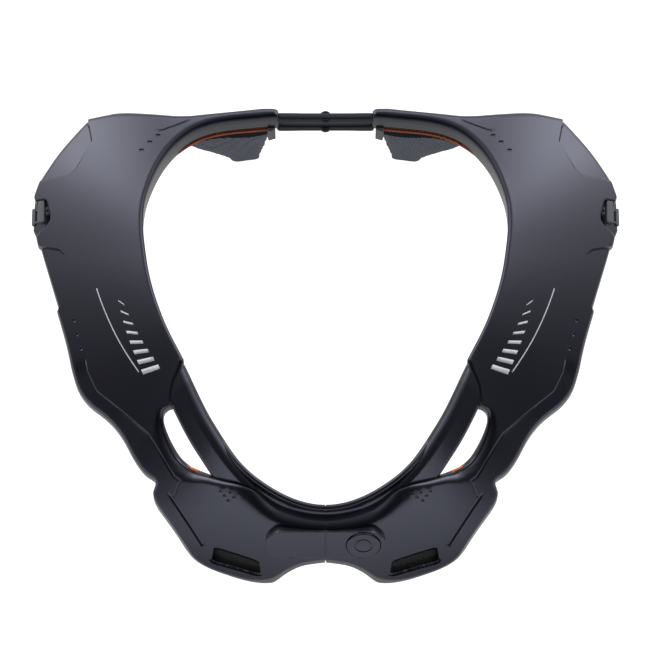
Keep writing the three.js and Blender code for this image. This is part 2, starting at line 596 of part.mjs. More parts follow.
// A small tab holds each rear pad's inner corner, in front of its face.
const tabAngle = armAngle + REAR_PAD[0].angle + 0.8;
const tabPlace = place(tabAngle, neckEdge(tabAngle) - CLEARANCE - TAB_THICKNESS / 2);
pair('anchor_tab', new THREE.BoxGeometry(TAB_WIDTH, TAB_THICKNESS, TAB_HEIGHT)
  .applyMatrix4(at(tabPlace.x, tabPlace.y, lipHeight(tabAngle) - TAB_HEIGHT / 2)
    .multiply(new THREE.Matrix4().makeRotationZ(degToRad(-tabAngle)))), grey);

// The origin is under the middle of the whole brace, on the surface that it stands on.
const box = new THREE.Box3().setFromObject(neck);
neck.position.set(0, -(box.min.y + box.max.y) / 2, -box.min.z);

export default group;
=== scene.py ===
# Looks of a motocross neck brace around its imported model, in metres. The brace stands on the
# floor with its front towards -Y and its release button on +X. It is nearly a mirror image, so
# most pieces are drawn for the +X half in a plan frame whose first number runs aside from the
# middle and whose second runs rearward from the ring's centre, and are then mirrored.
import math

import bmesh
import bpy
import numpy as np
from mathutils import Matrix, Vector, geometry


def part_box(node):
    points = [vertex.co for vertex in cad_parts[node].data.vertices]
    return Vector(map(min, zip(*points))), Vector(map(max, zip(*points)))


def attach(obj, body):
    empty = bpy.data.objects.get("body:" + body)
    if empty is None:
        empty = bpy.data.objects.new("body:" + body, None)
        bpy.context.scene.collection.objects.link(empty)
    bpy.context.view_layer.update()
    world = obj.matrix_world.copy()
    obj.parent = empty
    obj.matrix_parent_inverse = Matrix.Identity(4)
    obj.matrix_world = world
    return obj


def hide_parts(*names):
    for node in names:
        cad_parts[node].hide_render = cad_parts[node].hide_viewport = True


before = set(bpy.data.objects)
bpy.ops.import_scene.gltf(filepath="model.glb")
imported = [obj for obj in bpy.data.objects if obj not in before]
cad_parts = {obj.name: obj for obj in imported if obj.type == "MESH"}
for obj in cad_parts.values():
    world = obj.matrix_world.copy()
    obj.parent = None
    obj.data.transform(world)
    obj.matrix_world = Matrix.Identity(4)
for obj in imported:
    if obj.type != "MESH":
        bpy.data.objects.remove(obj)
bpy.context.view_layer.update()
scene = bpy.context.scene

# The photographer's set: a plain pale floor of paper, without a seam or an edge in view. The
# lights and the camera follow further down, where the ring's centre is known.
floor_mesh = bpy.data.meshes.new("floor")
floor_half = 3.0
floor_mesh.from_pydata([(x * floor_half, y * floor_half, 0)
                        for x, y in ((-1, -1), (1, -1), (1, 1), (-1, 1))], [], [(0, 1, 2, 3)])
floor = bpy.data.objects.new("floor", floor_mesh)
scene.collection.objects.link(floor)


class Value:
    """A value on a material's node tree that takes part in sums."""

    def __init__(self, finish, socket):
        self.finish, self.socket = finish, socket

    def sum(self, operation, a, b):
        return self.finish.node("ShaderNodeMath", {"operation": operation}, a, b)

    def __add__(self, other):
        return self.sum("ADD", self, other)

    def __sub__(self, other):
        return self.sum("SUBTRACT", self, other)

    def __rsub__(self, other):
        return self.sum("SUBTRACT", other, self)

    def __mul__(self, other):
        return self.sum("MULTIPLY", self, other)

    __radd__, __rmul__ = __add__, __mul__


class Finish:
    """A material whose shader is fed by nodes. Keywords set the shader's own sockets."""

    def __init__(self, name, **constants):
        self.material = bpy.data.materials.new(name)
        self.material.use_nodes = True
        self.tree = self.material.node_tree
        self.shader = self.tree.nodes["Principled BSDF"]
        for key, value in constants.items():
            self.shader.inputs[key.replace("_", " ")].default_value = value

    def node(self, kind, settings, *values, output=0, **named):
        made = self.tree.nodes.new(kind)
        for key, value in settings.items():
            setattr(made, key, value)
        for key, value in [*enumerate(values), *named.items()]:
            target = made.inputs[key.replace("_", " ") if isinstance(key, str) else key]
            self.join(value, target)
        return Value(self, made.outputs[output])

    def join(self, value, target):
        if isinstance(value, Value):
            self.tree.links.new(value.socket, target)
        else:
            target.default_value = value

    def feed(self, **values):
        for key, value in values.items():
            self.join(value, self.shader.inputs[key.replace("_", " ")])

    def where(self):
        """Position on the piece, in metres."""
        return self.node("ShaderNodeTexCoord", {}, output=3)

    def noise(self, size, detail=2.0, roughness=0.5):
        return self.node("ShaderNodeTexNoise", {}, Vector=self.where(), Scale=1 / size,
                         Detail=detail, Roughness=roughness)

    def mix(self, a, b, factor):
        made = self.tree.nodes.new("ShaderNodeMix")
        made.data_type = "RGBA"
        for value, target in ((factor, made.inputs[0]), (a, made.inputs[6]), (b, made.inputs[7])):
            self.join(value, target)
        return Value(self, made.outputs[2])

    def bump(self, height, depth, strength):
        return self.node("ShaderNodeBump", {}, Height=height, Distance=depth, Strength=strength)


# The paper glows: a painted glow that lights the brace, with a painted shadow around the brace.
paper = Finish("pale_floor", Roughness=0.9, Emission_Strength=1.0)
spread = paper.node("ShaderNodeVectorMath", {"operation": "LENGTH"}, paper.where(), output=1)
# Painted shadow: the glow cast on the brace is dimmer within 0.1 to 0.3 m of the centre.
glow_with_painted_shadow = paper.node("ShaderNodeMapRange", {}, spread, 0.10, 0.30, 0.42, 1.6)
glow_colour_with_painted_shadow = paper.node("ShaderNodeCombineColor", {}, glow_with_painted_shadow, glow_with_painted_shadow, glow_with_painted_shadow)
paper.feed(Base_Color=paper.mix((0.17, 0.17, 0.175, 1), (0.19, 0.19, 0.195, 1), paper.noise(0.4)),
           # The camera sees an even white; only light cast on the brace carries the painted glow and
           # shadow.
           Emission_Color=paper.mix(glow_colour_with_painted_shadow, (1.05, 1.05, 1.05, 1),
                                    paper.node("ShaderNodeLightPath", {})))
floor_mesh.materials.append(paper.material)

# The collar's two half shells: stiff injection-moulded plastic, 2 mm thick, one flowing surface
# from the rear arms over the wings to the chest plates, rolled over along every edge.
neck_radius, crest_height, wing_reach, bow = 0.083, 0.070, 0.055, 0.26
roll, slot_outer, seam, arm_width, link_span = 0.004, 0.019, 0.0004, 0.005, 0.043
front_reach = 0.355 * wing_reach
MM = 0.001

# The ring every 20 degrees, from the rear round the side to the front seam: radius and height
# as shares of the two sizes above, and how steeply the surface falls outward.
RING_STEP = 20
RING = {
    "radius": [1.012, 1.072, 1.184, 1.128, 0.993, 0.901, 0.865, 0.937, 1.067, 1.14],
    "crest": [1.0, 1.0, 1.014, 1.029, 1.014, 0.971, 0.9, 0.814, 0.714, 0.657],
    "fall": [0.22, 0.22, 0.2, 0.28, 0.42, 0.6, 0.82, 1.15, 1.6, 1.75],
}


def along_ring(column, angle):
    """Smooth value of one column of the ring table, level at both ends."""
    values = np.array(RING[column])
    values = np.concatenate([values[1:2], values, values[-2:-1]])
    i = np.clip(np.floor(np.asarray(angle) / RING_STEP).astype(int), 0, len(values) - 4)
    t = np.clip(np.asarray(angle) / RING_STEP - i, 0, 1)
    before, a, b, after = (values[i + k] for k in range(4))
    return ((2 * t**3 - 3 * t**2 + 1) * a + (t**3 - 2 * t**2 + t) * (b - before) / 2
            + (3 * t**2 - 2 * t**3) * b + (t**3 - t**2) * (after - a) / 2)


def neck_edge(angle):
    return neck_radius * along_ring("radius", angle)


def place(angle, reach):
    turn = np.radians(angle)
    return np.stack([np.sin(turn) * reach, np.cos(turn) * reach], axis=-1)


def spot(angle, offset):
    """Plan point that lies offset millimetres outward from the neck edge."""
    return place(angle, neck_edge(angle) + np.asarray(offset) * MM)


def ramp(value, low, high):
    t = np.clip((value - low) / (high - low), 0, 1)
    return t * t * (3 - 2 * t)


def polar(p):
    return np.degrees(np.arctan2(np.abs(p[..., 0]), p[..., 1])), np.hypot(p[..., 0], p[..., 1])


# The surface is held down in front: it levels off behind the front lip and under the latch.
LEVELS = {"angle": [0, 138, 148, 158, 166, 180], "share": [1.3, 1.3, 1.02, 0.93, 0.9, 0.9]}
latch_floor, latch_half_width = 0.0400, 0.027


def collar_height(p):
    """Height of the outer surface over plan points, before its edges are rolled."""
    angle, reach = polar(p)
    drop = along_ring("fall", angle)
    lean = np.arctan(drop)
    run = reach - neck_edge(angle) - roll * (1 + np.sin(lean))
    crest = crest_height * along_ring("crest", angle)
    height = crest - roll * (1 - np.cos(lean)) - drop * run - run * np.abs(run) / (2 * bow)
    level = crest * np.interp(angle, LEVELS["angle"], LEVELS["share"])
    level += (latch_floor - level) * (1 - ramp(p[..., 0], 0.019, 0.035)) * (angle > 90)
    soft = np.where(angle > 150, 0.0015 + 0.0015 * ramp(p[..., 0], 0.019, 0.035), 0.003)
    gap = np.clip((height - level) / soft, -30, 30)
    return height - soft * np.log1p(np.exp(gap))


def slopes(height, p, step=0.0002):
    """Rise of a height function along both plan axes."""
    return np.stack([(height(p + d) - height(p - d)) / (2 * step)
                     for d in (np.array([step, 0]), np.array([0, step]))], axis=-1)


def nearest(p, path):
    """Distance from each point to a path, the place along it as segment plus share, and the
    side: positive to the left of the path."""
    a, b = path[:-1], path[1:]
    side = b - a
    length2 = np.maximum((side**2).sum(-1), 1e-18)
    found = [np.empty(len(p)) for _ in range(3)]
    for start in range(0, len(p), 2000):
        part = p[start:start + 2000, None, :] - a
        t = np.clip((part * side).sum(-1) / length2, 0, 1)
        away = part - t[..., None] * side
        gap = (away**2).sum(-1)
        best = gap.argmin(1)
        rows = np.arange(len(best))
        cross = side[best, 0] * part[rows, best, 1] - side[best, 1] * part[rows, best, 0]
        for store, value in zip(found, (np.sqrt(gap[rows, best]), best + t[rows, best], cross)):
            store[start:start + 2000] = value
    return found


def inside(p, loop):
    """Which points lie inside a closed loop."""
    hit = np.zeros(len(p), bool)
    for (ax, ay), (bx, by) in zip(loop, np.roll(loop, -1, axis=0)):
        spans = (ay > p[:, 1]) != (by > p[:, 1])
        hit ^= spans & (p[:, 0] < (bx - ax) * (p[:, 1] - ay) / (by - ay + 1e-18) + ax)
    return hit


def resample(path, step):
    """The same path with points at most a step apart. Columns after the first two go along."""
    rows = [path[:1]]
    for a, b in zip(path[:-1], path[1:]):
        count = max(1, math.ceil(np.hypot(*(b - a)[:2]) / step))
        rows.append(a + (b - a) * np.linspace(0, 1, count + 1)[1:, None])
    return np.concatenate(rows)


def rounded(corners, steps=10):
    """A path through corners, each cut by a curve that takes up its share of both sides."""
    rows = [corners[0, :-1]]
    for before, corner, after in zip(corners[:-2], corners[1:-1], corners[2:]):
        share = corner[-1] / 2
        start, end = (corner + (other - corner) * share for other in (before, after))
        for t in np.linspace(0, 1, steps if share else 1):
            row = (1 - t)**2 * start + 2 * t * (1 - t) * corner + t**2 * end
            rows.append(row[:-1])
    return np.array(rows + [corners[-1, :-1]])


# Corners of the outer edge: reach past the neck edge as a share of wing_reach, edge radius and
# rim depth in millimetres, and how much of its sides a corner's rounding takes up.
OUTLINE = np.array([
    # angle, reach, edge, rim, round
    (37.5, 0.17, 2.6, 9.0, 0.5), (46.4, 0.585, 3.2, 5.0, 0.5), (51.5, 0.81, 2.2, 4.0, 0.18),
    (58.5, 0.9, 2.4, 4.0, 1.0), (65.6, 0.99, 2.0, 4.0, 0.35), (68.6, 1.015, 1.6, 4.0, 0.5),
    (69.5, 0.99, 0.9, 5.0, 0.3), (68.8, 0.89, 0.9, 6.0, 0.4), (71.4, 0.842, 0.9, 6.0, 0.3),
    (72.5, 0.84, 0.9, 6.0, 0.5), (73.4, 0.864, 0.9, 6.0, 0.3), (75.0, 0.935, 0.9, 5.0, 0.4),
    (75.9, 0.965, 1.4, 4.0, 0.5), (78.6, 0.935, 1.6, 3.0, 0.7), (90.8, 0.827, 2.4, 3.5, 0.7),
    (99, 0.81, 3.4, 4.0, 0.8), (109, 0.875, 3.4, 4.0, 0.9), (119.5, 0.69, 3.4, 4.0, 0.9),
    (130.6, 0.68, 3.2, 4.0, 0.9), (135.3, 0.612, 1.8, 5.0, 0.4), (136.3, 0.712, 2.2, 6.0, 0.85),
    (145, 0.703, 3.0, 6.0, 0.5), (152.1, 0.735, 3.4, 8.0, 0.75), (166.7, 0.593, 3.4, 8.8, 1.0),
    (173.0, 0.405, 2.4, 5.0, 0.9),
])
# Inner edge: distance from the neck edge as a share of slot_outer, edge radius and wall depth
# in millimetres. It rounds the vent slot and comes back along the chest plate's top.
INNER = np.array([
    # angle, inset, edge, wall
    (20, 0, 2.3, 12.0), (34, 0, 2.4, 12.5), (46, 0, 2.2, 13.0), (60, 0, 1.6, 12.5), (112, 0, 1.6, 12.0),
    (117, 0.0, 1.6, 10.0), (117.9, 0.02, 1.6, 7.0), (119.7, 0.17, 1.6, 4.0),
    (121.8, 0.44, 1.4, 4.0), (124.4, 0.62, 1.0, 5.0), (126.4, 0.675, 0.8, 6.0),
    (125.6, 0.76, 0.9, 6.0), (125.2, 0.92, 1.8, 6.0), (127.2, 1.0, 3.0, 7.0),
    (131.3, 1.02, 4.2, 7.0), (136.4, 1.0, 4.8, 7.0), (141.5, 0.87, 4.4, 7.0),
    (144.9, 0.73, 3.4, 7.0), (148.5, 0.64, 2.2, 6.0), (152, 0.53, 1.5, 5.0),
    (156, 0.38, 1.2, 4.0), (160, 0.245, 1.1, 4.0), (163.5, 0.20, 1.0, 5.0),
    (168, 0.20, 0.8, 6.0), (179.5, 0.20, 0.8, 6.0),
])
arm_angle = 14.3
for _ in range(6):
    arm_angle = math.degrees(math.asin(link_span / 2 / neck_edge(arm_angle)))


def shell_outline():
    """The closed edge of a half shell: plan point, edge radius and depth, anticlockwise seen
    from above with the wing to the right."""
    neck = np.linspace(arm_angle, 117, 130)
    near = np.column_stack([place(neck, neck_edge(neck)),
                            np.interp(neck, INNER[:, 0], INNER[:, 2]) * MM,
                            np.interp(neck, INNER[:, 0], INNER[:, 3]) * MM])
    rows = INNER[INNER[:, 0] > 117]
    slot = np.column_stack([place(rows[:, 0], neck_edge(rows[:, 0]) + rows[:, 1] * slot_outer),
                            rows[:, 2:4] * MM, np.full(len(rows), 0.9)])
    start = np.append(near[-1], 0)
    slot = rounded(np.vstack([start, slot]), 6)
    bottom = slot[-1].copy()
    bottom[0] = 0
    edge = np.column_stack([
        place(OUTLINE[:, 0], neck_edge(OUTLINE[:, 0]) + OUTLINE[:, 1] * wing_reach),
        OUTLINE[:, 2:4] * MM, OUTLINE[:, 4]])
    arm = np.array([[*place(a, neck_edge(a) + arm_width), 1.4 * MM, 11 * MM, 0]
                    for a in (12, 18, 26)])
    arm[0, :2] = link_span / 2, math.sqrt((neck_edge(12) + arm_width)**2 - (link_span / 2)**2)
    arm[0, 4] = 0.9
    arm = np.vstack([[*near[0, :2], 1.4 * MM, 11 * MM, 0], arm])
    front = np.array([0, -(neck_edge(180) + front_reach), 0.4 * MM, 5 * MM, 0])
    outer = rounded(np.vstack([arm, edge, front]))[::-1][:-1]
    outer[0, 2] = 0.3 * MM
    bottom[2:] = 0.3 * MM, 6 * MM
    return np.vstack([near, slot[1:], bottom, outer])


# Relief: pockets, steps, engraved lines and dimples that are sunk into the surface. Each path
# runs through points given as degrees and millimetres outward from the neck edge.
def route(*points):
    return np.array([spot(a, o) for a, o in points])


side_pocket = route((76.9, 60), (77.9, 50.4), (78.5, 42.1), (79.4, 39.7), (85.2, 37.1),
                    (86.6, 37.8), (90.8, 45.5), (91.8, 60))
corner_facet = route((50.6, 50), (51.5, 44.2), (55.0, 36.4), (61.5, 38.1), (63.3, 40.5),
                     (65.5, 53.5), (66.0, 64))
rim_line = route((102.1, 38.2), (105.7, 39.7), (110.4, 39.3), (117.6, 33.6),
                 (126.5, 27.7), (131.8, 26.9), (138.7, 26.9), (140.4, 25.9), (140.9, 31.6))
plate_line = route((140.2, 32.6), (151.5, 34.1), (151.9, 33.2))
arm_line = route((44.6, 10.2), (43.8, 9.0), (40.6, 6.6), (36.0, 5.2))
vent_corners = route((154.2, 31.2), (165.0, 25.9), (165.8, 29.0), (154.6, 35.0))
DIMPLES = [
    # angle, offset, half length, half width in millimetres
    (45.8, 9.2, 1.3, 0.75), (48.4, 10.2, 1.3, 0.75), (51.3, 11.3, 1.3, 0.75),
    (94.0, 38.0, 1.1, 1.0), (97.1, 38.2, 1.1, 1.0), (100.4, 38.3, 1.1, 1.0),
]
dot_rows = [(151.5, 15.0), (154.1, 12.6), (156.8, 10.5), (152.9, 15.0), (155.5, 12.8),
            (154.3, 15.2)]
DIMPLES += [(a, o, 0.85, 0.55) for a, o in dot_rows]


def cut_step(p, loop, depth, width):
    """Depth of a flat-bottomed pocket with a sloping wall, inside an open loop of corners."""
    gap = nearest(p, loop)[0]
    return depth * ramp(np.where(inside(p, loop), gap, -gap), -width / 2, width / 2)


def engraved(p, path, depth, half_width):
    gap = nearest(p, path)[0]
    return depth * np.clip(1 - (gap / half_width)**2, 0, 1)


def relief(p):
    """How far the surface is sunk, measured square to it."""
    angle, reach = polar(p)
    sunk = cut_step(p, side_pocket, 2.0 * MM, 0.9 * MM)
    facet_depth = np.interp(angle, [52, 56, 62, 66], [1.7, 1.6, 0.9, 0.5]) * MM
    sunk += facet_depth * cut_step(p, corner_facet, 1, 1.1 * MM)
    gap, along, cross = nearest(p, rim_line)
    beyond = ramp(np.where(cross > 0, gap, -gap), -0.4 * MM, 0.4 * MM)
    fade = np.interp(angle, [102, 106, 118, 127], [0.3, 0.9, 0.9, 0]) * MM
    sunk += fade * beyond * (reach > neck_edge(angle) + 20 * MM) * (gap < 16 * MM) \
        * (1 - ramp(gap, 6 * MM, 16 * MM)) * ramp(angle, 102, 105)
    line = np.interp(angle, [112, 122, 142], [0, 0.35, 0.4]) * MM
    sunk += line * np.clip(1 - (gap / (0.55 * MM))**2, 0, 1)
    sunk += engraved(p, plate_line, 0.36 * MM, 0.55 * MM)
    sunk += engraved(p, arm_line, 0.3 * MM, 0.6 * MM) * ramp(angle, 35.5, 40)
    for a, offset, long, wide in DIMPLES:
        away = p - spot(a, offset)
        gap = np.hypot(away[:, 0] / long, away[:, 1] / wide) / MM
        sunk += 0.6 * MM * (1 - ramp(gap, 0.5, 1.05))
    return sunk


def beside(path, offsets):
    """Rows of points along a path, at distances in millimetres from it."""
    fine = resample(path, 0.45 * MM)
    ahead = np.gradient(fine, axis=0)
    across = np.column_stack([-ahead[:, 1], ahead[:, 0]])
    across /= np.maximum(np.hypot(*across.T), 1e-12)[:, None]
    return [fine + across * offset * MM for offset in offsets]


def guides():
    """Extra points along the relief, so that its edges are crisp."""
    found = []
    for path, half in ((side_pocket, 0.45), (corner_facet, 0.55), (rim_line, 0.4)):
        found += beside(path, (-half - 0.3, -half - 0.1, -half, 0, half, half + 0.1, half + 0.3))
    for path in (rim_line, plate_line, arm_line):
        found += beside(path, (-0.95, -0.7, -0.58, -0.3, 0, 0.3, 0.58, 0.7, 0.95))
    for a, offset, long, wide in DIMPLES:
        turn = np.linspace(0, 2 * math.pi, 13)[:-1]
        ring = np.column_stack([np.cos(turn) * long, np.sin(turn) * wide]) * MM
        found += [spot(a, offset) + ring * size for size in (0.02, 0.5, 0.75, 1.05)]
    return np.concatenate(found)


def moulded(loops, height, sunk, extra, spacing):
    """Vertices and faces of a sheet that covers closed loops, with its edges rolled down and
    continued as walls. A loop's rows are plan point, edge radius and wall depth."""
    loops = [resample(np.vstack([loop, loop[:1]]), 0.8 * MM)[:-1] for loop in loops]
    rim = np.concatenate(loops)
    closed = [np.vstack([loop, loop[:1]]) for loop in loops]

    def to_edge(p):
        """Distance, edge radius and inward direction from the nearest edge."""
        best = np.full(len(p), np.inf)
        radius, inward = np.zeros(len(p)), np.zeros((len(p), 2))
        for path in closed:
            gap, along, _ = nearest(p, path[:, :2])
            i = np.clip(along.astype(int), 0, len(path) - 2)
            row = path[i] + (path[i + 1] - path[i]) * (along - i)[:, None]
            closer = gap < best
            best = np.where(closer, gap, best)
            radius = np.where(closer, row[:, 2], radius)
            away = (p - row[:, :2]) / np.maximum(gap, 1e-9)[:, None]
            inward = np.where(closer[:, None], away, inward)
        return best, radius, inward

    rings = []
    for path in closed:
        ahead = np.roll(path[:-1, :2], -1, axis=0) - np.roll(path[:-1, :2], 1, axis=0)
        across = np.column_stack([-ahead[:, 1], ahead[:, 0]])
        across /= np.hypot(*across.T)[:, None]
        for turn in np.radians([9, 22, 36, 52, 70, 90, 112]):
            away = path[:-1, 2] * (1 - np.cos(turn))
            points = path[:-1, :2] + across * away[:, None]
            rings.append(points[(to_edge(points)[0] > 0.97 * away) & (away > 0.03 * MM)])
    low, high = rim[:, :2].min(0), rim[:, :2].max(0)
    grid_x, grid_y = np.meshgrid(np.arange(low[0], high[0], spacing),
                                 np.arange(low[1], high[1], spacing * 0.866))
    grid_x[1::2] += spacing / 2
    grid = np.column_stack([grid_x.ravel(), grid_y.ravel()])
    cell = 0.8 * MM
    taken = {(a + i, b + j) for a, b in np.floor(extra / cell).astype(int)
             for i in (-1, 0, 1) for j in (-1, 0, 1)}
    free = np.array([tuple(at) not in taken for at in np.floor(grid / cell).astype(int)])
    grid = np.concatenate([grid[free], extra])
    keep = inside(grid, loops[0][:, :2])
    for hole in loops[1:]:
        keep &= ~inside(grid, hole[:, :2])
    grid = grid[keep]
    gap, radius, _ = to_edge(grid)
    grid = grid[gap > radius * 1.2 + 0.25 * MM]
    edges, first = [], 0
    for loop in loops:
        edges += [(first + k, first + (k + 1) % len(loop)) for k in range(len(loop))]
        first += len(loop)
    plan = np.concatenate([rim[:, :2], *rings, grid])
    made = geometry.delaunay_2d_cdt([Vector(q) for q in plan], edges, [], 1, 1e-7)
    plan = np.array([tuple(q) for q in made[0]])
    faces = np.array(made[2])
    middle = plan[faces].mean(1)
    keep = inside(middle, loops[0][:, :2])
    for hole in loops[1:]:
        keep &= ~inside(middle, hole[:, :2])
    faces = faces[keep]

    gap, radius, inward = to_edge(plan)
    gap[:len(rim)] = 0
    across = np.concatenate([np.column_stack([
        np.roll(loop[:, 1], 1) - np.roll(loop[:, 1], -1),
        np.roll(loop[:, 0], -1) - np.roll(loop[:, 0], 1)]) for loop in loops])
    inward[:len(rim)] = across / np.hypot(*across.T)[:, None]
    radius[:len(rim)] = rim[:, 2]
    rise = slopes(height, plan)
    lean = np.arctan((rise * inward).sum(1))
    tangent = radius * (1 - np.sin(lean))
    base = height(plan)
    circle = (base + np.tan(lean) * (tangent - gap) - radius * np.cos(lean)
              + np.sqrt(np.maximum(radius**2 - (radius - gap)**2, 0)))
    z = np.where(gap < tangent, circle, base)
    up = np.column_stack([-rise, np.ones(len(plan))])
    up /= np.linalg.norm(up, axis=1)[:, None]
    points = np.column_stack([plan, z]) - up * sunk(plan)[:, None]

    # The walls hang from the rim, three rows deep. Deep ones beside the wings lean out a little.
    count = len(points)
    if height is collar_height:
        rim[:, 3] = np.minimum(rim[:, 3], points[:len(rim), 2] - 0.1 * MM)
    lean_out = 0.05 * ramp(rim[:, 3], 9 * MM, 12 * MM) * ramp(polar(rim[:, :2])[0], 55, 75)
    hang = np.column_stack([inward[:len(rim)] * lean_out[:, None], -np.ones(len(rim))])
    walls = [points[:len(rim)] + hang * (rim[:, 3] * share)[:, None] for share in (0.34, 0.67, 1)]
    points = np.concatenate([points, *walls])
    quads, first = [], 0
    for loop in loops:
        for k in range(len(loop)):
            a, b = first + k, first + (k + 1) % len(loop)
            tops = [a, *(count + row * len(rim) + a for row in range(3))]
            lows = [b, *(count + row * len(rim) + b for row in range(3))]
            quads += [(tops[row], tops[row + 1], lows[row + 1], lows[row]) for row in range(3)]
        first += len(loop)
    return points, [*map(tuple, faces), *quads]


def mesh_piece(name, points, faces, crease=40):
    """A smooth-shaded object with its normals pointing out."""
    mesh = bpy.data.meshes.new(name)
    mesh.from_pydata([tuple(q) for q in points], [], [tuple(int(k) for k in f) for f in faces])
    mesh.validate()
    turned_out = bmesh.new()
    turned_out.from_mesh(mesh)
    if all(edge.is_manifold for edge in turned_out.edges):
        bmesh.ops.recalc_face_normals(turned_out, faces=turned_out.faces)
        turned_out.to_mesh(mesh)
    turned_out.free()
    piece = bpy.data.objects.new(name, mesh)
    scene.collection.objects.link(piece)
    mesh.shade_smooth()
    mesh.set_sharp_from_angle(angle=math.radians(crease))
    return piece


def apply_modifiers(piece):
    """Bakes a piece's modifiers into its mesh."""
    shown = piece.evaluated_get(bpy.context.evaluated_depsgraph_get())
    mesh = bpy.data.meshes.new_from_object(shown)
    piece.modifiers.clear()
    piece.data = mesh
    return piece


def thicken(piece, wall):
    modifier = piece.modifiers.new("wall", "SOLIDIFY")
    modifier.thickness, modifier.offset = wall, -1
    modifier.use_even_offset = False
    return apply_modifiers(piece)


def mirrored(points, faces):
    return np.asarray(points) * np.array([-1, 1, 1]), [tuple(f)[::-1] for f in faces]


# The outline sets where the ring's centre lies in the frame, and half a seam parts the halves.
outline = shell_outline()
ring_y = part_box("half_shell_right")[0].y - outline[:, 1].min()
RIGHT = np.array([seam / 2, ring_y, 0])
LEFT = np.array([-seam / 2, ring_y, 0])


# Three soft lights stand behind the brace, and a long lens looks down on it from the front.
def aim(thing, target):
    thing.rotation_euler = (Vector(target) - thing.location).to_track_quat("-Z", "Y").to_euler()


def soft_light(name, location, target, width, height, watts):
    light = bpy.data.lights.new(name, "AREA")
    light.shape, light.size, light.size_y, light.energy = "RECTANGLE", width, height, watts
    light.color = 0.96, 0.96, 1.0
    lamp = bpy.data.objects.new(name, light)
    lamp.location = location
    aim(lamp, target)
    scene.collection.objects.link(lamp)


soft_light("rear_softbox_right", (1.05, 1.05, 0.95), (0, 0.05, 0), 1.0, 0.7, 1.0)
soft_light("rear_softbox_left", (-1.05, 1.05, 0.95), (0, 0.05, 0), 1.0, 0.7, 1.0)
soft_light("rear_middle_softbox", (0, 1.3, 1.0), (0, 0.05, 0), 0.9, 0.5, 3.4)


class Surround(Finish):
    """The same helper on the world's nodes."""

    def __init__(self, world):
        world.use_nodes = True
        self.tree = world.node_tree


# The room's light fades away from both softboxes, and the camera sees plain pale paper there.
fade_angle, glow_strength, dim_light = 0.35, 7.0, 0.02
scene.world = bpy.data.worlds.new("studio")
room = Surround(scene.world)
way = room.node("ShaderNodeSeparateXYZ", {}, room.node("ShaderNodeTexCoord", {}))
aside, rearward, upward = (Value(room, way.socket.node.outputs[k]) for k in range(3))
to_softbox = room.node("ShaderNodeMath", {"operation": "ABSOLUTE"}, aside) * 0.6 \
    + rearward * 0.6 + upward * 0.53
apart = room.node("ShaderNodeMath", {"operation": "ARCCOSINE"}, to_softbox)
glow = room.node("ShaderNodeMath", {"operation": "EXPONENT"}, apart * (-1 / fade_angle))
lit = room.node("ShaderNodeBackground", {}, (1.06, 1.02, 0.92, 1),
                glow * glow_strength + dim_light)
seen = room.node("ShaderNodeBackground", {}, (0.93, 0.93, 0.94, 1), 1.0)
shown = room.node("ShaderNodeMixShader", {}, room.node("ShaderNodeLightPath", {}), lit, seen)
room.join(shown, room.tree.nodes["World Output"].inputs[0])
scene.view_settings.view_transform = "Standard"

camera_distance, camera_elevation, target_height, target_forward = 1.8, 70, 0.04, 0.007
metres_per_pixel, image_width = 0.00046, 650
camera = bpy.data.objects.new("camera", bpy.data.cameras.new("camera"))
lift = math.radians(camera_elevation)
target = Vector((0, ring_y - target_forward, target_height))
camera.location = target + camera_distance * Vector((0, -math.cos(lift), math.sin(lift)))
aim(camera, target)
camera.data.sensor_width = 36
camera.data.lens = 36 * camera_distance / (metres_per_pixel * image_width)
camera.data.shift_x = -0.5 / image_width
scene.collection.objects.link(camera)
scene.camera = camera

# The shells' plastic is blue-black with a fine spark-eroded grain and faint flow marks.
plastic = Finish("moulded_plastic", IOR=1.56, Specular_Tint=(0.68, 0.72, 1.0, 1))
cloudy = plastic.noise(0.03, 3)
grain = plastic.noise(0.00045, 3, 0.6)
plastic.feed(
    Base_Color=plastic.mix((0.0020, 0.0024, 0.0044, 1), (0.0028, 0.0033, 0.0060, 1), cloudy),
    Roughness=0.18 + 0.03 * cloudy + 0.05 * grain,
    Normal=plastic.bump(grain, 0.00004, 0.5))

# The slanted vents are true holes, with rounded corners and edges.
vent = np.vstack([vent_corners, vent_corners[:2]])
vent = rounded(np.column_stack([vent, np.tile([0.5 * MM, 2.8 * MM, 0.34], (len(vent), 1))]))[1:-1]

# A round hole under the latch block leaves room for the button to sink. It lies where a bore
# along the button's axis meets the surface, so the block's walls hide its edge.
latch_height, latch_slope, latch_raise = 0.017, math.radians(61), 0.0006
button_radius, button_offset = 0.0077, 0.017
latch_reach = neck_edge(180) + front_reach - latch_height / 2 * math.cos(latch_slope)


def collar_flow(angle, reach):
    """The surface without the level stretch in front, and never above the crest."""
    drop = along_ring("fall", angle)
    lean = math.atan(drop)
    run = reach - neck_edge(angle) - roll * (1 + math.sin(lean))
    crest = crest_height * along_ring("crest", angle)
    return min(crest, crest - roll * (1 - math.cos(lean)) - drop * run - run * abs(run) / (2 * bow))


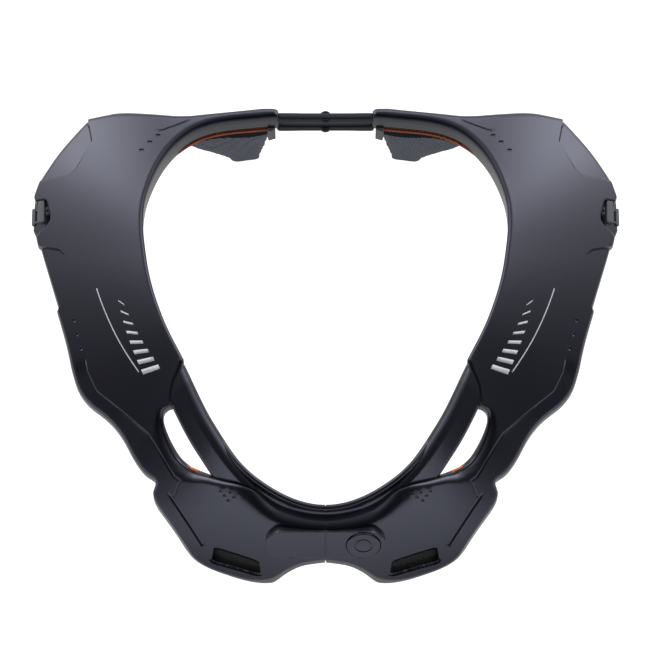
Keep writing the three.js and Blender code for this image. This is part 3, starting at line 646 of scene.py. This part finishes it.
latch_frame = (Matrix.Translation((0, ring_y - latch_reach, collar_flow(180, latch_reach)
                                   + latch_raise / math.cos(latch_slope)))
               @ Matrix.Rotation(latch_slope, 4, "X"))
button_hole = []
depths = np.arange(0, 0.010, 0.0001)
for turn in np.linspace(0, 2 * math.pi, 61)[:-1]:
    # tighter below, where the block's wall is near
    bore = button_radius + (0.3 + 0.1 * math.sin(turn)) * MM
    height = (latch_frame.translation.z + bore * math.sin(turn) * math.sin(latch_slope)
              - depths * math.cos(latch_slope))
    bored = np.column_stack([
        np.full(len(depths), button_offset + bore * math.cos(turn)),
        bore * math.sin(turn) * math.cos(latch_slope) - latch_reach
        + depths * math.sin(latch_slope)])
    met = np.argmax(height <= collar_height(bored))
    button_hole.append((*bored[met], 0.1 * MM, 0.15 * MM))
button_hole = np.array(button_hole)
shell_points, shell_faces = moulded([outline, vent[::-1], button_hole[::-1]], collar_height,
                                    relief, guides(), 0.75 * MM)


def dress(piece, finish, node=None, body="collar"):
    """Gives a piece its material, its body and the CAD node that it stands for."""
    piece.data.materials.append(finish.material)
    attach(piece, body)
    if node:
        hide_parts(node)


def sides(name, node, points, faces, slot, finish, wall=None, crease=40):
    """The same piece on both halves, each in place of its CAD node if one is named."""
    for side, form, shift in (("right", (points, faces), RIGHT),
                              ("left", mirrored(points, faces), LEFT)):
        piece = mesh_piece(f"{name}_{side}", form[0] + shift, form[1], crease)
        if wall:
            thicken(piece, wall)
        dress(piece, finish, node and f"{node}_{side}")


sides("collar_skin", "half_shell", shell_points, shell_faces, "moulded_plastic", plastic,
      wall=1.8 * MM)

# The neck rail: the smooth band beside the vent slot, moulded with the shell. It dips under the
# chest plate's top edge, and there a round bead on its neck side goes on as the front lip.
rail_width, rail_sink, bead = 0.0131, 0.0045, 0.0013
RAIL = {"angle": [112, 117, 124, 130, 150, 158, 163.5],
        "sink": [0.35, 0.12, 0.15, 0.35, 1.0, 1.15, 2.0], "width": [1, 1, 1, 1, 1, 0.7, 0.4]}


def rail_section(angle):
    """Reach and height round the rail's section: rolled edges joined by the flowing top."""
    sink = rail_sink * np.interp(angle, RAIL["angle"], RAIL["sink"])
    width = rail_width * np.interp(angle, RAIL["angle"], RAIL["width"])
    lean = math.atan(along_ring("fall", angle))
    inner = neck_edge(angle) + 0.0002 - min(0.2 * sink, 0.0009)
    outer = neck_edge(angle) + width
    inner_round, outer_round = min(roll, width / 2), min(0.0022, width / 3)
    start = inner + inner_round * (1 + math.sin(lean))
    end = max(outer - outer_round * (1 - math.sin(lean)), start + 0.0001)
    low_in = collar_flow(angle, start) - sink - inner_round * math.cos(lean)
    low_out = collar_flow(angle, end) - sink - outer_round * math.cos(lean)
    rows = [(inner, low_in + inner_round - 0.009)]
    for turn in np.linspace(-math.pi / 2, lean, 12):
        rows.append((inner + inner_round * (1 + math.sin(turn)),
                     low_in + inner_round * math.cos(turn)))
    for reach in np.linspace(start, end, 12)[1:-1]:
        rows.append((reach, collar_flow(angle, reach) - sink))
    for turn in np.linspace(lean, math.pi / 2, 8):
        rows.append((outer - outer_round * (1 - math.sin(turn)),
                     low_out + outer_round * math.cos(turn)))
    low = rows[0][1]
    return rows + [(outer, low_out - 0.002), (outer - 0.0015, low_out - 0.002),
                   (inner + 0.45 * width, min(low_out, low) - 0.001), (inner + 0.0015, low)]


def lip_section(angle):
    """The front lip: a bead that grows out of the rail, then flares into the scoop before it."""
    rise = float(ramp(np.array(angle), 142, 158))
    flare = 0.0001 + 0.0046 * float(ramp(np.array(angle), 157, 167))
    edge = neck_edge(angle) + 0.0004 * rise
    centre = edge + bead
    height = crest_height * along_ring("crest", angle) - bead - 0.0045 * (1 - rise)
    rows = [(edge, height - 0.008)]
    for turn in np.linspace(-math.pi / 2, math.pi / 2, 14):
        rows.append((centre + bead * math.sin(turn), height + bead * math.cos(turn)))
    for turn in np.linspace(0, math.pi / 2, 10):
        reach = edge + 2 * bead + flare * (1 - math.cos(turn))
        ground = float(collar_height(place(np.array([angle]), np.array([reach])))[0])
        cove = ground + (height - ground) * (1 - math.sin(turn)) - 0.00012
        rows.append((reach, min(cove, height - 0.0001 * turn)))
    return rows + [(edge + 2 * bead + flare * 0.9, rows[-1][1] - 0.001),
                   (edge + 2 * bead - 0.001, rows[-1][1] - 0.0035)]


def loft(rows):
    """A closed skin through rows of points, with its ends capped."""
    count = len(rows[0])
    faces = []
    for i in range(len(rows) - 1):
        for j in range(count):
            a, b = i * count + j, i * count + (j + 1) % count
            faces.append((a, b, b + count, a + count))
    last = (len(rows) - 1) * count
    faces += [tuple(range(count))[::-1], tuple(last + k for k in range(count))]
    return np.concatenate(rows), faces


def swept(angles, section):
    """A band that follows the ring: section gives its closed outline of reach and height."""
    rows = []
    for angle in angles:
        edge = np.array(section(angle))
        plan = place(np.full(len(edge), angle), edge[:, 0])
        rows.append(np.column_stack([plan, edge[:, 1]]))
    return loft(rows)


sides("neck_rail", None, *swept(np.arange(112, 163.6, 0.75), rail_section), "moulded_plastic",
      plastic)
sides("front_lip", None, *swept(np.append(np.arange(143, 179.9, 0.6), 179.99), lip_section),
      "moulded_plastic", plastic, crease=60)

# The latch: a pill-shaped block across the seam, its face square to the chest. The right half
# has the round pocket of the release button.
pocket_gap = 0.00025


def pill_outline():
    """Half of the pill from the seam: point on its face, edge radius and depth."""
    half = latch_height / 2
    straight = latch_half_width - half
    turns = np.linspace(-math.pi / 2, math.pi / 2, 40)
    ends = [(straight + half * math.cos(t), half * math.sin(t),
             (0.0010 - 0.0007 * ramp(np.array(t), 0.0, 0.7)), 0.011) for t in turns]
    return np.array([(0, -half, 0.0004, 0.011), (0.0005, -half, 0.0010, 0.011), *ends,
                     (0.0005, half, 0.0003, 0.011), (0, half, 0.0003, 0.011)])


turns = np.linspace(0, 2 * math.pi, 73)[:-1]
pocket = np.column_stack([button_offset + (button_radius + pocket_gap) * np.cos(turns),
                          (button_radius + pocket_gap) * np.sin(turns),
                          np.full(72, 0.0002), np.full(72, 0.0065)])[::-1]


def flat(p):
    return np.zeros(len(p))


for side, loops in (("right", [pill_outline(), pocket]), ("left", [pill_outline()])):
    points, faces = moulded(loops, flat, flat, np.empty((0, 2)), 0.9 * MM)
    if side == "left":
        points, faces = mirrored(points, faces)
    shift = seam / 2 if side == "right" else -seam / 2
    points = [latch_frame @ (Vector(q) + Vector((shift, 0, 0))) for q in points]
    block = thicken(mesh_piece("latch_block_" + side, points, faces), 0.25 * MM)
    dress(block, plastic)

# The release button: a moulded disc of the shells' plastic, faintly dished, with an engraved
# ring. It sits in the block's pocket on a spring and stands a little proud of the face.
button_proud = 0.0006
BUTTON_PROFILE = [
    # share of the radius, height below its proud face in millimetres
    (0, 0.35), (0.3, 0.33), (0.44, 0.28), (0.46, 0.6), (0.52, 0.6), (0.54, 0.24), (0.7, 0.14),
    (0.9, 0.02), (0.96, 0.06), (0.985, 0.18), (1.0, 0.45), (1.0, 3.9), (0.97, 4.0), (0, 4.0),
]


def turned(profile, radius, count=64):
    """A closed body of revolution about z: rows of radius share and depth in millimetres."""
    points, faces = [], []
    rings = [row for row in profile if row[0] > 0]
    for share, depth in rings:
        for k in range(count):
            turn = 2 * math.pi * k / count
            points.append((radius * share * math.cos(turn), radius * share * math.sin(turn),
                           -depth * MM))
    for i in range(len(rings) - 1):
        for k in range(count):
            a, b = i * count + k, i * count + (k + 1) % count
            faces.append((a, a + count, b + count, b))
    points += [(0, 0, -profile[0][1] * MM), (0, 0, -profile[-1][1] * MM)]
    top, low, last = len(points) - 2, len(points) - 1, (len(rings) - 1) * count
    for k in range(count):
        faces.append((top, k, (k + 1) % count))
        faces.append((low, last + (k + 1) % count, last + k))
    return points, faces


points, faces = turned(BUTTON_PROFILE, button_radius)
points = [latch_frame @ (Vector(q) + Vector((button_offset + seam / 2, 0, button_proud)))
          for q in points]
button = mesh_piece("release_button_cap", points, faces, 30)
dress(button, plastic, "release_button", "button")

# The lap behind the seam: a flange of the left half that closes the gap under the lip, the
# scoop and the latch.
lip_profile = np.array(lip_section(180)[1:25])
lap_rows = []
for d in np.linspace(0.0010, front_reach - 0.0003, 70):
    reach = neck_edge(180) + d
    top = float(collar_height(np.array([[0.001, -reach]]))[0])
    if reach < lip_profile[-1, 0]:
        top = np.interp(reach, lip_profile[:, 0], lip_profile[:, 1])
    up_face, under = (latch_reach - reach) / math.cos(latch_slope), 0.0006
    deep = 0.0065 if d < front_reach - 0.003 else 0.0042
    if abs(up_face) < latch_height / 2:
        top = max(top, latch_frame.translation.z + up_face * math.sin(latch_slope))
    lap_rows.append(np.array([(x, ring_y - reach, top - low)
                              for x, low in ((-0.0013, under), (0.0012, under),
                                             (0.0012, under + deep), (-0.0013, under + deep))]))
dress(mesh_piece("seam_lap", *loft(lap_rows)), plastic)

# The vents' inserts: panels of coarse black mesh, held close behind each slanted slot. They
# are wider than the slot, so the shell hides their edges.
mesh_black = Finish("vent_mesh", Roughness=0.75)
weave = mesh_black.node("ShaderNodeTexVoronoi", {"feature": "DISTANCE_TO_EDGE"},
                        Vector=mesh_black.where(), Scale=1 / 0.0012)
open_mesh = mesh_black.node("ShaderNodeMath", {"operation": "LESS_THAN"}, weave, 0.17)
mesh_black.feed(
    Base_Color=mesh_black.mix((0.0015, 0.0016, 0.0022, 1), (0.014, 0.015, 0.020, 1), open_mesh),
    Normal=mesh_black.bump(weave, 0.0003, 0.8))


def pressed_in(loop, depth, spacing, wall, name, node, slot, finish, sunk=relief):
    """A thin panel that follows the collar's surface at a depth below it."""
    fine = resample(np.vstack([loop, loop[:1]]), spacing)[:-1]
    low, high = fine.min(0), fine.max(0)
    x, y = np.meshgrid(np.arange(low[0], high[0], spacing), np.arange(low[1], high[1], spacing))
    grid = np.column_stack([x.ravel(), y.ravel()])
    grid = grid[inside(grid, fine)]
    grid = grid[nearest(grid, np.vstack([fine, fine[:1]]))[0] > spacing * 0.4]
    count = len(fine)
    made = geometry.delaunay_2d_cdt([Vector(q) for q in np.vstack([fine, grid])],
                                    [(k, (k + 1) % count) for k in range(count)], [], 1, 1e-7)
    plan = np.array([tuple(q) for q in made[0]])
    faces = np.array(made[2])
    faces = faces[inside(plan[faces].mean(1), fine)]
    up = np.column_stack([-slopes(collar_height, plan), np.ones(len(plan))])
    up /= np.linalg.norm(up, axis=1)[:, None]
    points = np.column_stack([plan, collar_height(plan)]) - up * (depth + sunk(plan))[:, None]
    sides(name, node, points, faces, slot, finish, wall)


pressed_in(route((153.0, 31.0), (166.4, 26.5), (166.9, 32.0), (153.4, 39.2)), 0.0023, 0.0009, 0.0006,
           "vent_mesh_panel", None, "pad_mesh", mesh_black, sunk=flat)

# The printed marks: flat pale-grey ink on each wing, a row of growing slanted dashes beside a
# hairline.
ink = Finish("pale_ink", Roughness=0.5)
ink.feed(Base_Color=ink.mix((0.40, 0.43, 0.50, 1), (0.50, 0.53, 0.61, 1), ink.noise(0.004, 2)))
marks = [[(88, 25.6), (88, 25.15), (112.5, 19.2), (112.5, 19.65)]]
for k in range(8):
    start, wide, long = 92 + 2.9 * k, 0.35 + 0.16 * k, 2.2 + 0.75 * k
    near = 14.6 - 0.55 * k
    marks.append([(start, near + long), (start + 1.6, near), (start + 1.6 + wide, near),
                  (start + wide, near + long)])
for k, corners in enumerate(marks):
    path = []
    for (a0, o0), (a1, o1) in zip(corners, corners[1:] + corners[:1]):
        share = np.linspace(0, 1, max(2, int(abs(a1 - a0) / 0.6)))[:-1]
        path.append(spot(a0 + (a1 - a0) * share, o0 + (o1 - o0) * share))
    pressed_in(np.concatenate(path), -0.00006, 0.0014, 0.00005, f"ink_mark_{k + 1}", None,
               "clip_plastic", ink)

# The strap clips: two grey nylon bars on dark pins, in a recess of the wing's notch. Straps of
# the rider's armour hook on there.
nylon = Finish("grey_nylon")
speckle = nylon.noise(0.0005, 2, 0.7)
nylon.feed(Base_Color=nylon.mix((0.022, 0.026, 0.040, 1), (0.050, 0.056, 0.080, 1), speckle),
           Roughness=0.5 + 0.15 * speckle, Normal=nylon.bump(speckle, 0.00008, 0.7))


def rounded_bar(start, end, across, up, half_width, half_height, waist=1.0):
    """A bar with softened edges and ends that may thin between its ends."""
    start, end, across, up = (np.array(v, float) for v in (start, end, across, up))
    length = np.linalg.norm(end - start)
    soft = min(half_width, half_height) / length
    marks = np.concatenate([soft * (1 - np.cos(np.linspace(0.35, math.pi / 2, 6))),
                            np.linspace(soft, 1 - soft, 40)[1:-1],
                            1 - soft * (1 - np.cos(np.linspace(math.pi / 2, 0.35, 6)))])
    rows = []
    for t in marks:
        near = min(t, 1 - t)
        end_share = math.sqrt(max(1 - max(0, 1 - near / soft)**2, 0))
        thin = waist + (1 - waist) * float(ramp(np.array(abs(2 * t - 1)), 0.45, 0.8))
        section = []
        for turn in np.linspace(0, 2 * math.pi, 29)[:-1]:
            c, q = math.cos(turn), math.sin(turn)
            a = math.copysign(abs(c)**0.45, c) * (half_width - min(half_width, half_height)
                                                  * (1 - end_share) * 0.6) * (1 + thin) / 2
            b = math.copysign(abs(q)**0.45, q) * (half_height - min(half_width, half_height)
                                                  * (1 - end_share) * 0.6) * thin
            section.append(start + (end - start) * t + across * a + up * b)
        rows.append(np.array(section))
    return loft(rows)


low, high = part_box("strap_clip_right")
ring_shift = np.array([0, ring_y, 0]) + np.array([seam / 2, 0, 0])
tilt = math.radians(22)
across, up = (math.cos(tilt), 0, -math.sin(tilt)), (math.sin(tilt), 0, math.cos(tilt))
inner_x, inner_z = low.x + 0.0018, high.z - 0.0016
outer_x, outer_z = high.x - 0.0010, low.z + 0.0016
for name, finish, slot, *bar in (
        ("inner", nylon, "clip_plastic", (inner_x, low.y + 0.0007, inner_z),
         (inner_x, high.y - 0.0006, inner_z), across, up, 0.0018, 0.0013),
        ("outer", nylon, "clip_plastic", (outer_x, low.y + 0.0002, outer_z),
         (outer_x, high.y - 0.0040, outer_z), across, up, 0.0009, 0.0011),
        ("front_pin", plastic, "moulded_plastic", (inner_x, low.y + 0.0020, inner_z),
         (outer_x, low.y + 0.0016, outer_z), (0, 1, 0), up, 0.0006, 0.0006),
        ("rear_pin", plastic, "moulded_plastic", (inner_x - 0.003, high.y - 0.0052, inner_z),
         (outer_x, high.y - 0.0052, outer_z), (0, 1, 0), up, 0.0006, 0.0006)):
    points, faces = rounded_bar(*bar)
    sides("strap_clip_" + name, "strap_clip" if name == "inner" else None,
          points - ring_shift, faces, slot, finish)
pressed_in(route((66.6, 48.0), (67.8, 57.0), (69.0, 58.6), (74.6, 58.0), (76.2, 56.0),
                 (76.6, 44.0), (67.4, 43.6)), 0.0056, 0.0012, 0.0014, "clip_recess", None,
           "moulded_plastic", plastic, sunk=flat)

# The tabs: short folds of pale webbing that anchor the rear pads' top corners under the arms.
webbing = Finish("grey_webbing", Roughness=0.8, Sheen_Weight=0.2)
yarn = webbing.node("ShaderNodeTexWave", {"bands_direction": "Z"}, Vector=webbing.where(),
                    Scale=0.314 / 0.0008, Distortion=0.8)
webbing.feed(Base_Color=webbing.mix((0.12, 0.125, 0.15, 1), (0.30, 0.31, 0.36, 1), yarn),
             Normal=webbing.bump(yarn, 0.0002, 0.8))
for side in ("right", "left"):
    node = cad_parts["anchor_tab_" + side]
    node.data.materials.clear()
    node.data.materials.append(webbing.material)
    soft_edge = node.modifiers.new("soft_edges", "BEVEL")
    soft_edge.width, soft_edge.segments, soft_edge.limit_method = 0.00045, 3, "ANGLE"

# The piping: a woven orange cord sewn along each pad's upper edge. The rear one shows as a thin
# line under the arm, and the chest one at the bottom of the vent slot.
thread = Finish("orange_binding", Roughness=0.8, Sheen_Weight=0.3)
twist = thread.node("ShaderNodeTexWave", {"bands_direction": "DIAGONAL"},
                    Vector=thread.where(), Scale=0.314 / 0.0008, Distortion=0.6)
thread.feed(Base_Color=thread.mix((0.48, 0.085, 0.022, 1), (0.85, 0.20, 0.060, 1), twist),
            Normal=thread.bump(twist, 0.0002, 0.8))


def cord_section(angle, out, height, radius):
    turns = np.linspace(0, 2 * math.pi, 17)[:-1]
    return np.column_stack([neck_edge(angle) + out + radius * np.cos(turns),
                            height - radius * np.sin(turns)])


def rear_cord(angle):
    out = 0.0002 + 0.0020 * float(ramp(np.array(angle), 38, 56))
    return cord_section(angle, out, crest_height * along_ring("crest", angle) - 0.0150, 0.0007)


def chest_cord(angle):
    out = np.interp(angle, [137.5, 139.5, 141.5, 144.9, 147.5], [20.4, 19.2, 17.6, 14.9, 12.6]) * MM
    over = place(np.array([angle]), np.array([neck_edge(angle) + out + 0.002]))
    return cord_section(angle, out, float(collar_height(over)[0]) - 0.0056, 0.0009)


sides("rear_cord", "rear_piping", *swept(np.arange(arm_angle + 1.3, 60, 0.6), rear_cord),
      "orange_piping", thread)
sides("chest_cord", "chest_piping", *swept(np.arange(137.5, 147.5, 0.4), chest_cord),
      "orange_piping", thread)

# The rear links: two moulded rubber straps between the arm ends, one above the other, a little
# thinner along the middle, each with a round dished boss halfway.
rubber = Finish("link_rubber", IOR=1.4, Specular_Tint=(0.7, 0.74, 1.0, 1))
bloom = rubber.noise(0.002, 3)
rubber.feed(Base_Color=rubber.mix((0.004, 0.005, 0.008, 1), (0.008, 0.009, 0.013, 1), bloom),
            Roughness=0.5 + 0.12 * bloom,
            Normal=rubber.bump(rubber.noise(0.0006), 0.00004, 0.5))
BOSS = [
    # share of the radius, height below its top in millimetres
    (0, 0.0), (0.5, 0.02), (0.56, 0.3), (0.66, 0.3), (0.74, 0.04), (0.9, 0.1), (1.0, 0.5),
    (1.0, 3.3), (0.9, 3.8), (0, 3.8),
]
for name, tall in (("rear_link_upper", 0.0028), ("rear_link_lower", 0.0030)):
    low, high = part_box(name)
    middle = np.array((low + high) / 2)
    reach = np.array([(high.x - low.x) / 2 + 0.0014, 0, 0])
    points, faces = rounded_bar(middle - reach, middle + reach, (0, 1, 0), (0, 0, 1), 0.0016,
                                tall, 0.93)
    knob, knob_faces = turned(BOSS, 0.0027, 40)
    knob = np.array(knob) + middle + np.array([0, 0, 0.0022])
    faces += [tuple(k + len(points) for k in face) for face in knob_faces]
    link = mesh_piece(name + "_strap", np.vstack([points, knob]), faces, 50)
    dress(link, rubber, name)

# The pads: slabs of foam in ribbed mesh cloth, bound in smooth cloth along the top. The rear
# ones hang behind the neck edge, and the chest ones line the plates.
cloth = Finish("ribbed_mesh", Roughness=0.9, Specular_IOR_Level=0.1)
at = cloth.where()
across = cloth.node("ShaderNodeVectorRotate", {"rotation_type": "Y_AXIS"}, Vector=at,
                    Angle=math.radians(52))
rib = cloth.node("ShaderNodeTexWave", {"bands_direction": "X"}, Vector=across,
                 Scale=0.314 / 0.0015, Distortion=0.3)
hole = cloth.node("ShaderNodeTexVoronoi", {}, Vector=at, Scale=1 / 0.0007)
shade = rib * (0.55 + 0.45 * hole)
axes = cloth.node("ShaderNodeSeparateXYZ", {}, at)
height, aside = (Value(cloth, axes.socket.node.outputs[k]) for k in (2, 0))
apart = cloth.node("ShaderNodeMath", {"operation": "ABSOLUTE"}, aside)
border = cloth.node("ShaderNodeMapRange", {}, apart, 0.036, 0.064, 0.0435, 0.0515)
bound = cloth.node("ShaderNodeMapRange", {}, height - border, -0.0003, 0.0003, 0.0, 1.0)
smooth_cloth = cloth.mix((0.010, 0.011, 0.016, 1), (0.016, 0.018, 0.025, 1), cloth.noise(0.0006))
mesh_cloth = cloth.mix((0.006, 0.007, 0.011, 1), (0.46, 0.49, 0.60, 1), shade)
cloth.feed(Base_Color=cloth.mix(mesh_cloth, smooth_cloth, bound),
           Normal=cloth.bump(shade * (1 - bound) + bound * 1.4, 0.0004, 0.9))


def puffed(node, voxel, shrink, cap):
    """Fills a copy of a CAD pad as cloth under pressure, and returns its points and faces."""
    pad = bpy.data.objects.new("pad_form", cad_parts[node].data.copy())
    scene.collection.objects.link(pad)
    remesh = pad.modifiers.new("remesh", "REMESH")
    remesh.mode, remesh.voxel_size = "VOXEL", voxel
    soften = pad.modifiers.new("soften", "SMOOTH")
    soften.factor, soften.iterations = 0.5, 24
    apply_modifiers(pad)
    for vertex, normal in zip(pad.data.vertices, [n.vector.copy() for n in pad.data.vertex_normals]):
        vertex.co -= normal * shrink
    start = np.array([tuple(v.co) for v in pad.data.vertices])
    settings = pad.modifiers.new("cloth", "CLOTH").settings
    settings.use_pressure, settings.uniform_pressure_force = True, 4
    settings.effector_weights.gravity = 0
    for number in range(1, 21):
        scene.frame_set(number)
    apply_modifiers(pad)
    scene.frame_set(1)
    moved = np.array([tuple(v.co) for v in pad.data.vertices]) - start
    far = np.linalg.norm(moved, axis=1)[:, None]
    moved *= np.minimum(1, cap / np.maximum(far, 1e-9))
    for vertex, point in zip(pad.data.vertices, start + moved):
        vertex.co = point
    pad.modifiers.new("smooth", "SUBSURF").levels = 1
    apply_modifiers(pad)
    points = np.array([tuple(v.co) for v in pad.data.vertices])
    faces = [tuple(f.vertices) for f in pad.data.polygons]
    bpy.data.objects.remove(pad)
    return points, faces


for name, voxel, shrink, cap in (("rear_pad", 0.0010, 0.0003, 0.0012),
                                 ("chest_pad", 0.0012, 0.0005, 0.0010)):
    points, faces = puffed(name + "_right", voxel, shrink, cap)
    points[:, 2] = np.maximum(points[:, 2], 0.0003)
    for side, form in (("right", (points, faces)), ("left", mirrored(points, faces))):
        pad = mesh_piece(f"{name}_{side}_cushion", *form, 80)
        dress(pad, cloth, f"{name}_{side}")
